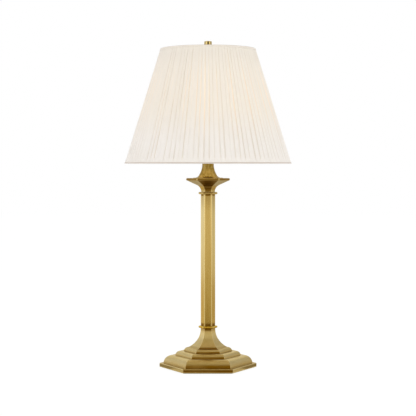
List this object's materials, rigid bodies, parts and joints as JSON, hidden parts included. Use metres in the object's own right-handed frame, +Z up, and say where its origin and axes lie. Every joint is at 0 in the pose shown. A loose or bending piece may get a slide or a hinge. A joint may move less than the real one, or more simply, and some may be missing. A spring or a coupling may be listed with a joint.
{
  "type": "table lamp",
  "caption": "Candlestick table lamp with a stepped six-sided brass foot, tall six-sided column, harp and pleated cone shade.",
  "frame": {"origin": "centre of the underside, on the surface the lamp stands on", "axes": "+Z up, front towards -Y, the column's corners on +X and -X"},
  "size_m": [0.3837, 0.3838, 0.7499],
  "materials": {
    "brass": "satin antique brass",
    "plated_brass": "bright brass",
    "contact_brass": "plain brass",
    "steel": "zinc plated",
    "iron": "as cast",
    "felt": "felt",
    "cloth": "pleated silk look",
    "styrene": "matte, translucent",
    "black_plastic": "matte",
    "fibre": "pressed fibre",
    "bulb_metal": "satin",
    "glass": "frosted white"
  },
  "bodies": {
    "body": {"felt_pad": "felt", "foot": "brass", "cord_bushing": "black_plastic", "foot_weight": "iron", "rod_washer": "steel", "rod_lock_washer": "steel", "rod_nut": "steel", "lamp_rod": "steel", "pedestal": "brass", "lower_collar": "brass", "column": "brass", "upper_collar": "brass", "capital": "brass", "neck": "brass", "harp_saddle": "plated_brass", "socket_cap": "plated_brass", "socket_set_screw": "steel", "socket_shell": "plated_brass", "socket_liner": "fibre", "socket_core": "black_plastic", "terminal_screws": "steel", "screw_shell": "contact_brass", "centre_contact": "contact_brass"},
    "harp": {"harp_wire": "steel", "harp_stud": "plated_brass"},
    "ferrule_right": {"harp_ferrule_right": "plated_brass"},
    "ferrule_left": {"harp_ferrule_left": "plated_brass"},
    "shade": {"spider": "steel", "shade_bottom_ring": "steel", "shade_top_ring": "steel", "shade_liner": "styrene", "shade_pleats": "cloth", "bottom_trim": "cloth", "top_trim": "cloth"},
    "finial": {"finial": "plated_brass"},
    "bulb": {"bulb_contact": "contact_brass", "bulb_insulator": "black_plastic", "bulb_cap": "bulb_metal", "bulb_glass": "glass", "bulb_stem": "glass", "bulb_filament": "steel"},
    "switch": {"switch_shaft": "steel", "switch_key": "black_plastic"}
  },
  "joints": [
    {"name": "harp_lift", "type": "slide", "parent": "body", "child": "harp", "axis": [0, 0, 1], "range_m": [0, 0.05]},
    {"name": "ferrule_right_slide", "type": "slide", "parent": "harp", "child": "ferrule_right", "axis": [0, 0, 1], "range_m": [0, 0.015]},
    {"name": "ferrule_left_slide", "type": "slide", "parent": "harp", "child": "ferrule_left", "axis": [0, 0, 1], "range_m": [0, 0.015]},
    {"name": "shade_turn", "type": "hinge", "parent": "harp", "child": "shade", "pos_m": [0, 0, 0.72094], "axis": [0, 0, 1], "continuous": true},
    {"name": "finial_turn", "type": "hinge", "parent": "harp", "child": "finial", "pos_m": [0, 0, 0.725], "axis": [0, 0, 1], "continuous": true},
    {"name": "bulb_turn", "type": "hinge", "parent": "body", "child": "bulb", "pos_m": [0, 0, 0.52], "axis": [0, 0, 1], "continuous": true},
    {"name": "switch_turn", "type": "hinge", "parent": "body", "child": "switch", "pos_m": [0, -0.02, 0.50514], "axis": [0, -1, 0], "continuous": true}
  ]
}
